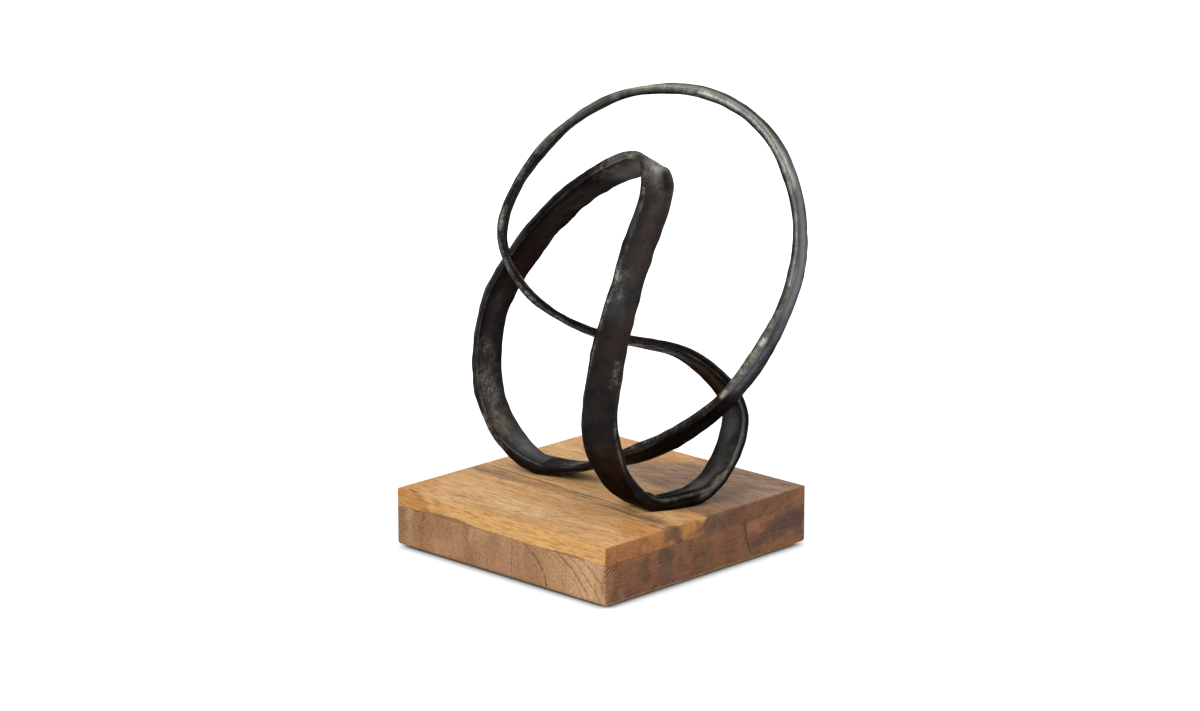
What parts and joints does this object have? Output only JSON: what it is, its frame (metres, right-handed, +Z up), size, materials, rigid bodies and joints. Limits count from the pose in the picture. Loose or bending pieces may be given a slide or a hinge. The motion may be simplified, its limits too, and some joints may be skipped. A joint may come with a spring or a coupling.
{
  "type": "metal sculpture",
  "caption": "Dark hand-forged metal band bent into a closed, half-twisted knot that stands by its feet on a square laminated wooden base.",
  "frame": {"origin": "centre of the base's underside, on the felt's lower face", "axes": "+Z up; the base's sides run along X and Y; the knot faces the base's front corner at +X, -Y"},
  "size_m": [0.2343, 0.2, 0.3289],
  "materials": {
    "forged_metal": "dark bronze-black patina, hammered, with worn pewter edges",
    "pale_wood": "satin oiled, golden tan with dark streaks",
    "brown_wood": "satin oiled, mid brown",
    "felt": "matt felt",
    "zinc_steel": "zinc plated"
  },
  "bodies": {
    "root": {"knot_band": "forged_metal", "base_upper_board": "pale_wood", "base_lower_board": "brown_wood", "felt_sheet": "felt", "screw_left_foot": "zinc_steel", "washer_left_foot": "zinc_steel", "screw_front_foot": "zinc_steel", "washer_front_foot": "zinc_steel"}
  },
  "joints": []
}
